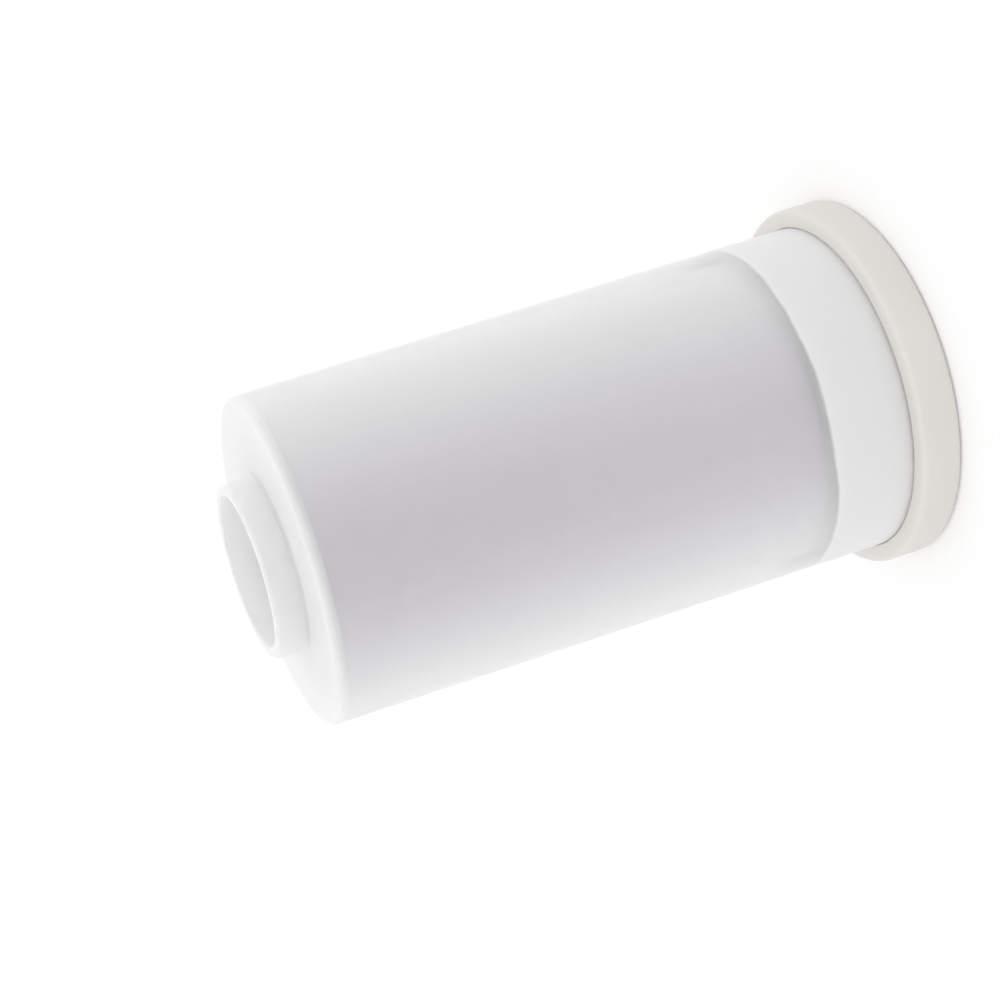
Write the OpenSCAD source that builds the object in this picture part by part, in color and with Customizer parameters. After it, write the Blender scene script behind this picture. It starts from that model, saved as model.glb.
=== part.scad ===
// Scale control cartridge: a moulded housing full of softening beads, closed by a snapped-in end cap.
// It stands on the cap's flange, with the outlet spigot up. Z runs along the cartridge's own axis.

/* [Housing] */
// Outer diameter of the housing at its closed end
body_d = 49; // [45:0.5:54]
// Length of the housing from the cap's flange to its closed end
body_len = 89.5; // [60:0.5:140]
// Draft of the housing's side wall, in degrees on each side
body_draft = 0.47; // [0:0.01:0.8]
// Thickness of the side wall
wall_t = 2.1; // [1.6:0.1:2.8]
// Thickness of the closed end
end_wall_t = 1.9; // [1.4:0.1:3]
// Radius round the outer edge of the closed end
end_edge_r = 1; // [0.4:0.1:1.6]
// Radius of the corner between side wall and closed end, inside
end_corner_r = 1.7; // [0.6:0.1:3]

/* [Outlet spigot] */
// Outer diameter of the spigot
spigot_d = 26; // [20:0.5:32]
// Length of the spigot above the closed end
spigot_len = 4.6; // [3:0.1:20]
// Thickness of the spigot's wall
spigot_wall_t = 1.8; // [1.4:0.1:2.6]
// Radius round the outer edge of the spigot's mouth
spigot_edge_r = 0.7; // [0.3:0.1:0.9]
// Radius round the inner edge of the spigot's mouth
spigot_lip_r = 0.3; // [0.1:0.1:0.4]
// Fillet where the spigot meets the closed end
spigot_root_r = 0.5; // [0.2:0.1:1]

/* [End cap] */
// Outer diameter of the flange
flange_d = 56; // [54:0.5:64]
// Thickness of the flange
flange_t = 6.5; // [4.5:0.1:10]
// Radius round the front edge of the flange, towards the housing
flange_front_r = 0.7; // [0.3:0.1:0.9]
// Radius round the rear edge of the flange
flange_rear_r = 0.9; // [0.3:0.1:1]
// Thickness of the flange's outer rim
rim_t = 2.2; // [1.6:0.1:2.6]
// Thickness of the web that joins the rim to the plug
web_t = 2; // [1.4:0.1:2.8]
// How far the plug reaches into the housing
plug_len = 12.5; // [11:0.5:24]
// Thickness of the plug's wall
plug_wall_t = 2; // [1.6:0.1:2.6]
// Depth of the groove in the flange in which the housing's end sits
seat_depth = 0.6; // [0.3:0.1:0.8]
// Lead-in on the plug's inner edge
plug_lead = 0.7; // [0.3:0.1:1]
// Number of snap beads round the plug
snap_count = 2; // [1:1:2]
// Width of a snap bead along the plug
snap_w = 1.9; // [1.2:0.1:2.4]
// Height of a snap bead above the plug's wall
snap_h = 0.35; // [0.2:0.05:0.5]
// Distance of the first bead's middle from the plug's inner end
snap_offset = 3.3; // [2.6:0.1:4]
// Distance between the middles of the beads
snap_pitch = 4.8; // [4:0.1:5.4]

/* [Grilles] */
// Thickness of the inlet grille in the end cap
inlet_grille_t = 2.2; // [1.6:0.1:3]
// Number of spokes in the inlet grille
inlet_spokes = 8; // [3:1:12]
// Radius of the inlet grille's hub
inlet_hub_r = 3.6; // [2:0.2:5]
// Number of spokes in the outlet grille
outlet_spokes = 6; // [3:1:8]
// Radius of the outlet grille's hub
outlet_hub_r = 2.4; // [1.6:0.2:3.2]
// Width of the grilles' spokes and rings
rib_w = 1.5; // [1:0.1:2]

/* [Screens] */
// Thickness of the mesh screens
screen_t = 0.5; // [0.3:0.1:0.8]
// Width of the land that a screen is welded to, outside its grille
screen_land = 1; // [0.6:0.1:1.2]

/* [Fits] */
// Radial clearance between the plug and the housing
plug_gap = 0.1; // [0.05:0.05:0.2]
// Radial clearance between the housing and the outside of its groove in the flange
seat_gap = 0.1; // [0.05:0.05:0.2]
// Clearance between a snap bead and its groove
snap_gap = 0.1; // [0.05:0.05:0.2]
// Radial clearance round a screen in its recess
screen_gap = 0.15; // [0.05:0.05:0.3]
// Clearance between the beads and what holds them
bed_gap = 0.1; // [0.05:0.05:0.3]

/* [Hidden] */
$fn = 128;
// Overshoot of a cutter past the face that it cuts
over = 1;
slope = tan(body_draft);
closed_z = flange_t + body_len;
mouth_z = closed_z + spigot_len;
plug_z = flange_t + plug_len;
seat_z = flange_t - seat_depth;
inner_top_z = closed_z - end_wall_t;
spigot_r = spigot_d / 2;
bore_r = spigot_r - spigot_wall_t;
rim_r = flange_d / 2;
outlet_screen_r = bore_r + screen_land;
// Radius of the arc whose cap is one snap bead
snap_r = (snap_w * snap_w / 4 + snap_h * snap_h) / (2 * snap_h);

// Radius of the housing's outer and inner surface at height z
function outer_r(z) = body_d / 2 + (closed_z - z) * slope;
function inner_r(z) = outer_r(z) - wall_t;
// Radius of the plug's outer surface, and of the well inside it
function plug_r(z) = inner_r(z) - plug_gap;
function well_r(z) = plug_r(z) - plug_wall_t;
// Height of the middle of one snap bead
function snap_z(i) = plug_z - snap_offset - i * snap_pitch;

// Radius of the inlet grille at the plug's end, and of the recess in which its screen lies
inlet_grille_r = well_r(plug_z);
inlet_screen_r = inlet_grille_r + screen_land;

// Section of a solid that tapers with the housing: its side is the draft line moved in by inset,
// and its upper corner has radius r
module drafted_section(z0, z1, inset, r) {
    centre_x = outer_r(z1 - r) - inset - r / cos(body_draft);
    polygon([
        [0, z0],
        [outer_r(z0) - inset, z0],
        [centre_x + r * cos(body_draft), z1 - r + r * sin(body_draft)],
        [centre_x, z1],
        [0, z1]
    ]);
    translate([centre_x, z1 - r])
        circle(r);
}

// Section of what one snap bead takes up at the plug's surface, grown on all sides by grow
module snap_section(i, grow) {
    translate([plug_r(snap_z(i)) - snap_r + snap_h, snap_z(i)])
        circle(snap_r + grow);
}

// Square corner at the origin that is left outside a quarter circle of radius r
module corner_cut(r) {
    difference() {
        square(r);
        circle(r);
    }
}

// Flat wheel of spokes: a hub, spokes and an outer ring, with a ring between them where mid_r is above 0
module grille_openings(r, hub_r, mid_r, spokes) {
    difference() {
        circle(r);
        circle(hub_r);
        if (mid_r > 0)
            difference() {
                circle(mid_r + rib_w / 2);
                circle(mid_r - rib_w / 2);
            }
        for (i = [0 : spokes - 1])
            rotate(i * 360 / spokes)
                translate([0, -rib_w / 2])
                    square([r + over, rib_w]);
    }
}

module housing_section() {
    difference() {
        union() {
            drafted_section(seat_z, closed_z, 0, end_edge_r);
            difference() {
                translate([0, inner_top_z])
                    square([spigot_r, mouth_z - inner_top_z]);
                translate([spigot_r - spigot_edge_r, mouth_z - spigot_edge_r])
                    corner_cut(spigot_edge_r);
            }
            translate([spigot_r + spigot_root_r, closed_z + spigot_root_r])
                rotate(180)
                    corner_cut(spigot_root_r);
        }
        drafted_section(seat_z - over, inner_top_z, wall_t, end_corner_r);
        translate([-over, closed_z])
            square([bore_r + over, spigot_len + over]);
        translate([bore_r, mouth_z - spigot_lip_r])
            difference() {
                square(spigot_lip_r);
                translate([spigot_lip_r, 0])
                    circle(spigot_lip_r);
            }
        translate([-over, inner_top_z - over])
            square([outlet_screen_r + screen_gap + over, screen_t + over]);
        for (i = [0 : snap_count - 1])
            snap_section(i, snap_gap);
    }
}

module housing() {
    color([0.90, 0.91, 0.92, 0.75])
        difference() {
            rotate_extrude()
                housing_section();
            translate([0, 0, inner_top_z - over])
                linear_extrude(end_wall_t + 2 * over)
                    grille_openings(bore_r - rib_w / 2, outlet_hub_r, 0, outlet_spokes);
        }
}

module end_cap_section() {
    difference() {
        union() {
            difference() {
                square([rim_r, flange_t]);
                translate([rim_r - flange_front_r, flange_t - flange_front_r])
                    corner_cut(flange_front_r);
                translate([rim_r - flange_rear_r, flange_rear_r])
                    mirror([0, 1])
                        corner_cut(flange_rear_r);
            }
            polygon([
                [0, flange_t - web_t],
                [plug_r(seat_z), flange_t - web_t],
                [plug_r(seat_z), seat_z],
                [plug_r(plug_z - plug_lead), plug_z - plug_lead],
                [plug_r(plug_z) - plug_lead / 2, plug_z],
                [0, plug_z]
            ]);
            for (i = [0 : snap_count - 1])
                snap_section(i, 0);
        }
        polygon([
            [-over, -over],
            [well_r(-over), -over],
            [well_r(plug_z - inlet_grille_t), plug_z - inlet_grille_t],
            [-over, plug_z - inlet_grille_t]
        ]);
        translate([plug_r(seat_z), seat_z])
            square([outer_r(seat_z) + seat_gap - plug_r(seat_z), seat_depth + over]);
        translate([plug_r(seat_z), -over])
            square([rim_r - rim_t - plug_r(seat_z), flange_t - web_t + over]);
        translate([-over, plug_z - screen_t])
            square([inlet_screen_r + screen_gap + over, screen_t + over]);
    }
}

module end_cap() {
    color([0.88, 0.86, 0.83])
        difference() {
            rotate_extrude()
                end_cap_section();
            translate([0, 0, plug_z - inlet_grille_t - over])
                linear_extrude(inlet_grille_t + 2 * over)
                    grille_openings(
                        inlet_grille_r - rib_w,
                        inlet_hub_r,
                        (inlet_grille_r - rib_w + inlet_hub_r) / 2,
                        inlet_spokes
                    );
        }
}

module inlet_screen() {
    color([0.93, 0.93, 0.92])
        translate([0, 0, plug_z - screen_t])
            cylinder(h = screen_t, r = inlet_screen_r);
}

module outlet_screen() {
    color([0.93, 0.93, 0.92])
        translate([0, 0, inner_top_z])
            cylinder(h = screen_t, r = outlet_screen_r);
}

// The beads fill the housing from the plug to the closed end
module bead_bed() {
    color([0.78, 0.77, 0.80])
        rotate_extrude()
            drafted_section(plug_z + bed_gap, inner_top_z - bed_gap, wall_t + bed_gap, end_corner_r);
}

housing();
end_cap();
inlet_screen();
outlet_screen();
bead_bed();
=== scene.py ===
import math

import bmesh
import bpy
from mathutils import Matrix, Vector

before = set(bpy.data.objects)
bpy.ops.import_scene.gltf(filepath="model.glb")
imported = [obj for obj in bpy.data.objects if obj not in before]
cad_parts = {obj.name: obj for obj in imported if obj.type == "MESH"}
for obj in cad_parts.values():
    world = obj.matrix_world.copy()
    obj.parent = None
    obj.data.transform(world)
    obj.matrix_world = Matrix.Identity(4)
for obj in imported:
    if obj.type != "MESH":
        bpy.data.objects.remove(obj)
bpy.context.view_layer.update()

MM = 0.001

# How milky the housing's wall is where it is looked at square on: over the beads, over the plug
# and at the closed end. It gets milkier towards its outline.
HAZE = 0.19
PLUG_HAZE = 0.9
END_HAZE = 0.6
# Heights between which the wall's look changes: at the end of the filling, and just below the closed end
PLUG_FADE = (18.8 * MM, 19.3 * MM)
END_FADE = (94.5 * MM, 95.5 * MM)
# How far the end of the filling waves up and down
FILL_WAVE = 1.2 * MM
# Side of the housing towards which painted shade darkens the beads
SHADED_SIDE = (-0.5, -0.866, 0.0)

# Refractive index of polypropylene
PLASTIC_IOR = 1.49
WALL_DEPTH = 2.5 * MM
CAP_DEPTH = 2 * MM
GRAIN_HEIGHT = 0.01 * MM
BEAD_HEIGHT = 0.3 * MM
# Pattern scales, in repeats to the metre
GRAIN_SCALE = 2600
WEAVE_SCALE = 3000
BEAD_SCALE = 1300

FLOOR_REACH = 30
FLOOR_DROP = 0.05 * MM
# What the floor adds to its own colour where it is seen, so that it shows as white
FLOOR_GLOW = 0.15
STUDIO_LIGHT = 1.0

# Camera: it looks down on the standing cartridge from the side, rolled so that the outlet points left.
LENS_MM = 83.19
CAMERA_AT = Vector((0, -325.4, 156.83)) * MM
CAMERA_AIM = Vector((-1.126, 0, 61.6)) * MM
CAMERA_ROLL = math.radians(107.698)


def rgb(red, green, blue):
    return (red, green, blue, 1.0)


BODY_WHITE = rgb(0.94, 0.945, 0.95)
PLUG_WHITE = rgb(0.95, 0.94, 0.92)
CAP_DARK = rgb(0.775, 0.745, 0.71)
CAP_LIGHT = rgb(0.795, 0.765, 0.73)
WIRE_DARK = rgb(0.6, 0.6, 0.6)
WIRE_LIGHT = rgb(0.85, 0.85, 0.85)
BEAD_LIGHT = rgb(0.80, 0.745, 0.83)
# Painted shade in the gaps between the beads
BEAD_GAP_SHADE = rgb(0.70, 0.645, 0.73)
# Painted light: the beads' colour away from the painted shade on one side, paler than the beads are
BEAD_PAINTED_LIGHT = rgb(0.95, 0.94, 0.955)
FLOOR_WHITE = rgb(0.9, 0.9, 0.9)
WHITE = rgb(1, 1, 1)


class Signal:
    """What one output socket gives over a surface. Arithmetic on it adds Math nodes."""

    def __init__(self, nodes, socket):
        self.nodes = nodes
        self.socket = socket

    def math(self, operation, *values):
        return self.nodes.add("ShaderNodeMath", {"operation": operation}, dict(enumerate(values)))

    def __add__(self, other):
        return self.math("ADD", self, other)

    def __sub__(self, other):
        return self.math("SUBTRACT", self, other)

    def __rsub__(self, other):
        return self.math("SUBTRACT", other, self)

    def __mul__(self, other):
        return self.math("MULTIPLY", self, other)

    __radd__ = __add__
    __rmul__ = __mul__

    def spread(self, low, high, to_low=0.0, to_high=1.0):
        """The signal with low..high stretched to to_low..to_high, and clamped there."""
        return self.nodes.add(
            "ShaderNodeMapRange",
            {"clamp": True},
            {"Value": self, "From Min": low, "From Max": high, "To Min": to_low, "To Max": to_high},
        )


class Nodes:
    """A node tree, and the one method that adds nodes to it."""

    def __init__(self, owner):
        owner.use_nodes = True
        self.tree = owner.node_tree
        self.tree.nodes.clear()

    def add(self, kind, settings, values, output=0):
        node = self.tree.nodes.new(kind)
        for name, value in settings.items():
            setattr(node, name, value)
        for name, value in values.items():
            if isinstance(value, Signal):
                self.tree.links.new(value.socket, node.inputs[name])
            else:
                node.inputs[name].default_value = value
        return Signal(self, node.outputs[output]) if node.outputs else None


def new_finish(name):
    """A new material's nodes, and the Object coordinates on its pieces."""
    material = bpy.data.materials.new(name)
    nodes = Nodes(material)
    return material, nodes, nodes.add("ShaderNodeTexCoord", {}, {}, "Object")


def noise(nodes, place, scale, detail=2.0):
    return nodes.add("ShaderNodeTexNoise", {}, {"Vector": place, "Scale": scale, "Detail": detail})


def blend(nodes, factor, low, high):
    """Colour low where factor is 0 and high where it is 1."""
    return nodes.add("ShaderNodeMix", {"data_type": "RGBA"}, {0: factor, 6: low, 7: high}, 2)


def bump(nodes, height, distance, strength):
    return nodes.add("ShaderNodeBump", {}, {"Height": height, "Distance": distance, "Strength": strength})


def moulded_grain(nodes, place):
    """The fine grain that the mould leaves on both plastics."""
    return bump(nodes, noise(nodes, place, GRAIN_SCALE), GRAIN_HEIGHT, 0.4)


def vector_math(nodes, operation, first, second=None, output=0):
    values = {0: first} if second is None else {0: first, 1: second}
    return nodes.add("ShaderNodeVectorMath", {"operation": operation}, values, output)


def surface(nodes, values):
    shader = nodes.add("ShaderNodeBsdfPrincipled", {}, values)
    nodes.add("ShaderNodeOutputMaterial", {}, {"Surface": shader})


def frosted_polypropylene():
    """The housing: thin milky plastic, clearest where it is looked at square on over the beads."""
    material, nodes, place = new_finish("frosted_polypropylene")
    cloud = noise(nodes, place, 60, 3)
    height = nodes.add("ShaderNodeSeparateXYZ", {}, {"Vector": place}, "Z")
    wave = (noise(nodes, place, 90) - 0.5) * FILL_WAVE
    over_plug = (height + wave).spread(*PLUG_FADE, 1.0, 0.0)
    at_end = height.spread(*END_FADE)
    slant = nodes.add("ShaderNodeLayerWeight", {}, {"Blend": 0.5}, "Facing")
    least = HAZE + over_plug * (PLUG_HAZE - HAZE) + at_end * (END_HAZE - HAZE)
    surface(nodes, {
        "Base Color": blend(nodes, over_plug, BODY_WHITE, PLUG_WHITE),
        "Roughness": cloud.spread(0.3, 0.7, 0.38, 0.46),
        "IOR": PLASTIC_IOR,
        "Subsurface Weight": 1.0,
        "Subsurface Radius": (1.0, 1.0, 1.0),
        "Subsurface Scale": WALL_DEPTH,
        "Alpha": least + (1 - least) * slant,
        "Normal": moulded_grain(nodes, place),
    })
    return material


def cream_polypropylene():
    """The end cap: the same plastic, thicker, closed to light and a little warmer."""
    material, nodes, place = new_finish("cream_polypropylene")
    cloud = noise(nodes, place, 70, 3)
    surface(nodes, {
        "Base Color": blend(nodes, cloud.spread(0.3, 0.7), CAP_DARK, CAP_LIGHT),
        "Roughness": cloud.spread(0.3, 0.7, 0.42, 0.5),
        "IOR": PLASTIC_IOR,
        "Subsurface Weight": 0.2,
        "Subsurface Radius": (1.0, 1.0, 1.0),
        "Subsurface Scale": CAP_DEPTH,
        "Normal": moulded_grain(nodes, place),
    })
    return material


def screen_mesh():
    """The screens: pale mesh, shown as a fine speckle."""
    material, nodes, place = new_finish("screen_mesh")
    weave = noise(nodes, place, WEAVE_SCALE, 1)
    surface(nodes, {"Base Color": blend(nodes, weave, WIRE_DARK, WIRE_LIGHT), "Roughness": 0.6})
    return material


def softening_beads():
    """The filling: fine packed beads, with painted shade in the gaps between them and painted shade
    darkening them towards one side.
    """
    material, nodes, place = new_finish("softening_beads")
    cells = nodes.add("ShaderNodeTexVoronoi", {}, {"Vector": place, "Scale": BEAD_SCALE}, "Distance")
    outward = vector_math(nodes, "NORMALIZE", vector_math(nodes, "MULTIPLY", place, (1, 1, 0)))
    # Painted shade: the beads darken towards one side of the housing, away from there they take the painted
    # light colour
    painted_side_shade = vector_math(nodes, "DOT_PRODUCT", outward, SHADED_SIDE, "Value").spread(-1.0, 1.0)
    # Painted shade: each bead darkens from its centre into the gaps between beads
    gap_shaded_beads = blend(nodes, cells.spread(0.1, 0.8), BEAD_LIGHT, BEAD_GAP_SHADE)
    surface(nodes, {
        "Base Color": blend(nodes, painted_side_shade * painted_side_shade * painted_side_shade, BEAD_PAINTED_LIGHT, gap_shaded_beads),
        "Roughness": 0.7,
        "Normal": bump(nodes, 1 - cells, BEAD_HEIGHT, 0.6),
    })
    return material


FINISHES = {
    "housing": frosted_polypropylene(),
    "end_cap": cream_polypropylene(),
    "inlet_screen": screen_mesh(),
    "outlet_screen": screen_mesh(),
    "bead_bed": softening_beads(),
}
for node, material in FINISHES.items():
    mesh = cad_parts[node].data
    mesh.materials.clear()
    mesh.materials.append(material)

# Floor
floor_mesh = bpy.data.meshes.new("floor")
sheet = bmesh.new()
bmesh.ops.create_grid(sheet, x_segments=1, y_segments=1, size=FLOOR_REACH)
sheet.to_mesh(floor_mesh)
sheet.free()
floor = bpy.data.objects.new("floor", floor_mesh)
bpy.context.scene.collection.objects.link(floor)
floor.location.z = -FLOOR_DROP
floor_white = bpy.data.materials.new("floor_white")
nodes = Nodes(floor_white)
seen = sum(
    nodes.add("ShaderNodeLightPath", {}, {}, ray)
    for ray in ("Is Camera Ray", "Is Glossy Ray", "Is Transmission Ray")
)
diffuse = nodes.add("ShaderNodeBsdfDiffuse", {}, {"Color": FLOOR_WHITE})
glow = nodes.add(
    "ShaderNodeEmission", {}, {"Color": WHITE, "Strength": seen.spread(0.0, 1.0, 0.0, FLOOR_GLOW)}
)
both = nodes.add("ShaderNodeAddShader", {}, {0: diffuse, 1: glow})
nodes.add("ShaderNodeOutputMaterial", {}, {"Surface": both})
floor_mesh.materials.append(floor_white)

# World
world = bpy.data.worlds.new("studio")
bpy.context.scene.world = world
nodes = Nodes(world)
background = nodes.add("ShaderNodeBackground", {}, {"Color": WHITE, "Strength": STUDIO_LIGHT})
nodes.add("ShaderNodeOutputWorld", {}, {"Surface": background})

# Camera
lens = bpy.data.cameras.new("camera")
lens.lens = LENS_MM
lens.sensor_width = 36
camera = bpy.data.objects.new("camera", lens)
bpy.context.scene.collection.objects.link(camera)
turn = (CAMERA_AIM - CAMERA_AT).to_track_quat("-Z", "Y").to_matrix() @ Matrix.Rotation(-CAMERA_ROLL, 3, "Z")
camera.matrix_world = Matrix.Translation(CAMERA_AT) @ turn.to_4x4()
bpy.context.scene.camera = camera

bpy.context.scene.view_settings.view_transform = "Standard"
